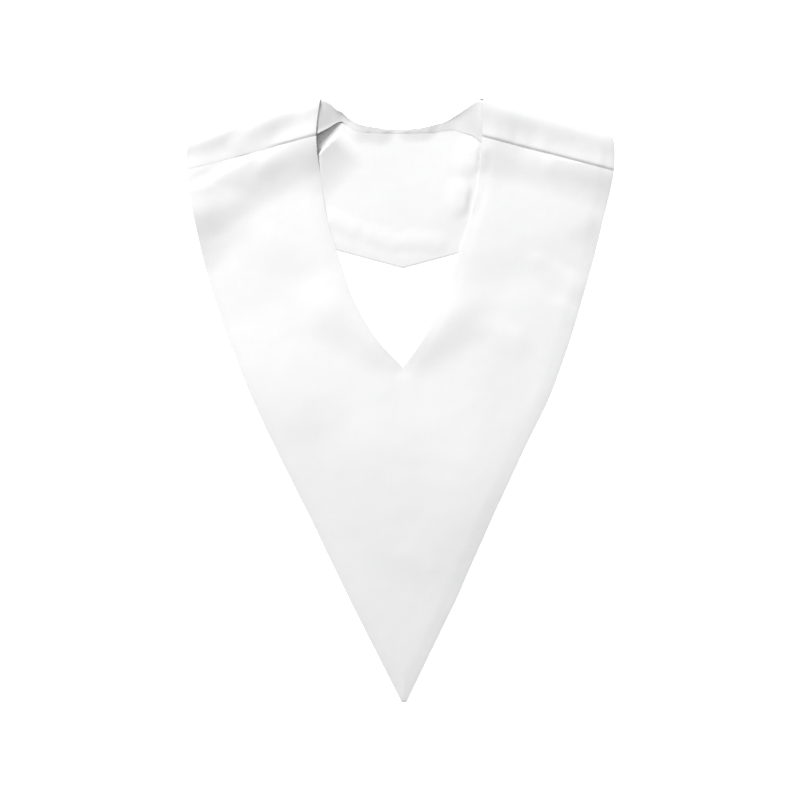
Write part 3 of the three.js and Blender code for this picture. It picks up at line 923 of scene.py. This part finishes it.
def make_lining(material, columns):
    rows = shifted(transposed(columns), LINING_OFFSET)
    rows[-1] = [point._replace(depth=point.depth - HEM_MARGIN) for point in rows[-1]]
    formed = []
    for row in rows:
        line = []
        for point in row:
            past_corner = (neck_share(point.x) - 1) * back_neck_half(side_of(point.x))
            shown = 1 - ease(past_corner, 0, LINING_FOLDS_END)
            from_hem = hem_depth(point.x) - point.depth
            rise = folds_rise(LINING_FOLDS, point.x, point.depth)
            rise += corner_fold_rise(point.x, point.depth)
            rise += LINING_PUFF * (1 - math.exp(-((from_hem / LINING_FALL) ** 2)))
            line.append(point._replace(height=point.height + rise * shown))
        formed.append(line)
    lining = sew("back_lining_cloth", [formed], LINING_THICKNESS, material)
    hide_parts("back_lining")


def facing_column(at):
    """The facing at one place along the back neckline, lying on the back."""
    side = LEFT if at < 0 else RIGHT
    edge, rise, run = back_edge(side, abs(at))
    width = read_table(FACING_EDGE, side.name, abs(at)) * FACING_DROP - edge
    section = []
    for share in crowded(FACING_ROWS):
        down = width * share
        bend = 1 - min(down / run, 1)
        section.append((edge + down, BACK_THICKNESS / 2 + rise * (1 - math.sqrt(1 - bend * bend))))
    x = NECK_OFFSET + at * back_neck_half(side)
    lengths = along_section(section)
    return [
        Point(x, depth, height, length, pressed_near(min(depth - edge, edge + width - depth)))
        for (depth, height), length in zip(section, lengths)
    ]


def corner_share(point):
    """1 at the neck corners and under the yokes, and 0 a little way in from them."""
    return ease(neck_share(point.x), CLOSING_FROM, CLOSING_FULL)


def facet_rise(point, out):
    """How far the facing stands up at a neck corner. At the left its lower edge stays up."""
    side = side_of(point.x)
    up = (neck_share(point.x) - FACET_FROM) / (FACET_FULL - FACET_FROM)
    share = min(max(up, 0), 1) ** FACET_CURVE
    fall_start = fold_depth(side, 0) + FACET_FALL_FROM
    fall = side.facet_fall * ease(point.depth, fall_start, seam_depth(side, 0))
    height = side.facet_height - side.facet_dip * (1 - out) ** 2 - fall
    level = mix(1 - out, 1, side.facet_stands)
    lip = side.facet_lip * math.exp(-(((1 - out) / FACET_LIP_WIDTH) ** 2))
    closed = mix(ease(out, 0, TOP_EDGE_WIDTH), 1, CLOSING_RISE * corner_share(point))
    return (max(height - point.height, 0) * level + lip) * share * closed


def make_facing(material):
    """The turned band along the back neckline, whose lower edge stands off at the left."""
    left_end, right_end = (1 + FACING_TUCK / back_neck_half(side) for side in (LEFT, RIGHT))
    shares = [mix(-left_end, right_end, n / FACING_COLUMNS) for n in range(FACING_COLUMNS + 1)]
    rows = shifted(transposed([facing_column(at) for at in shares]), FACING_OFFSET)
    formed = []
    for out, row in zip(crowded(FACING_ROWS), rows):
        line = []
        for point in row:
            pucker = noise.noise(Vector((point.x / BAND_PUCKER_LENGTH, 3, 0.2)))
            rise = BAND_PUCKER * max(pucker, 0) * math.sin(math.pi * out)
            rise += folds_rise(LINING_FOLDS, point.x, point.depth)
            rise += BAND_RISE * (1 - out) * ease(out, 0, TOP_EDGE_WIDTH)
            height = point.height + rise + facet_rise(point, out)
            top = 1 - ease(out, 0, CLOSING_WIDTH)
            depth = point.depth - CLOSING_DISTANCE * corner_share(point) * top
            line.append(point._replace(depth=depth, height=height))
        formed.append(line)
    facing = sew("neck_facing_cloth", [formed], FACING_THICKNESS, material)
    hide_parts("neck_facing")


def make_floor():
    bpy.ops.object.select_all(action="DESELECT")
    bpy.ops.mesh.primitive_plane_add(size=6)
    floor = bpy.context.object
    floor.name = "floor"
    material = bpy.data.materials.new("white_table")
    material.use_nodes = True
    shader = material.node_tree.nodes["Principled BSDF"]
    shader.inputs["Base Color"].default_value = (0.95, 0.95, 0.95, 1)
    shader.inputs["Roughness"].default_value = 0.9
    shader.inputs["Specular IOR Level"].default_value = 0.1
    shader.inputs["Emission Color"].default_value = (1, 1, 1, 1)
    shader.inputs["Emission Strength"].default_value = 0.7
    add_material(floor, material)


def add_softbox(name, place, size, energy):
    """A square light that faces the middle of the stole."""
    bpy.ops.object.light_add(type="AREA", location=place)
    light = bpy.context.object
    light.name = name
    light.data.size = size
    light.data.energy = energy
    light.rotation_euler = (-Vector(place)).to_track_quat("-Z", "Y").to_euler()


def make_light():
    """A key light from above the left shoulder, a soft top light and an even white room."""
    add_softbox("key_light", place=(-2.2, 4.75, 3.27), size=2.2, energy=490)
    add_softbox("top_light", place=(-0.15, 0.3, 1.2), size=0.8, energy=2.6)
    world = bpy.data.worlds.new("white_room")
    world.use_nodes = True
    background = world.node_tree.nodes["Background"]
    background.inputs["Color"].default_value = (1, 1, 1, 1)
    background.inputs["Strength"].default_value = 0.35
    scene = bpy.context.scene
    scene.world = world
    scene.view_settings.view_transform = "Standard"
    scene.view_settings.gamma = 0.8


def make_camera():
    """Straight above the stole, far enough away to see it almost without perspective."""
    frame_width = 0.808
    cloth_height = 0.004
    distance = 2.6
    bpy.ops.object.camera_add(location=(0, 0.0005, distance), rotation=(0, 0, 0))
    camera = bpy.context.object
    camera.name = "camera"
    camera.data.sensor_width = 36
    camera.data.lens = camera.data.sensor_width * (distance - cloth_height) / frame_width
    camera.data.clip_end = 10
    bpy.context.scene.camera = camera


make_camera()
make_light()
make_floor()

weave = weave_group()
creases = crease_group()
face_satin = satin(
    "face_satin", weave, creases,
    light=(0.81, 0.81, 0.81), shade=(0.77, 0.77, 0.775), roughness=0.42, threads=2600,
)
lining_satin = satin(
    "lining_satin", weave, creases,
    light=(0.8, 0.8, 0.8), shade=(0.76, 0.76, 0.765), roughness=0.46, threads=2400,
)
# The facing uses the same white satin with darker tints: the darkening is painted shade for the
# neckline band and the facets at the neck corners.
facing_satin_painted_shade = satin(
    "facing_satin_painted_shade", weave, creases,
    light=(0.785, 0.785, 0.785), shade=(0.745, 0.745, 0.75), roughness=0.5, threads=2400,
)

back_columns = lower_columns()
make_front(face_satin)
make_back(face_satin, back_columns)
make_lining(lining_satin, back_columns)
make_facing(facing_satin_painted_shade)
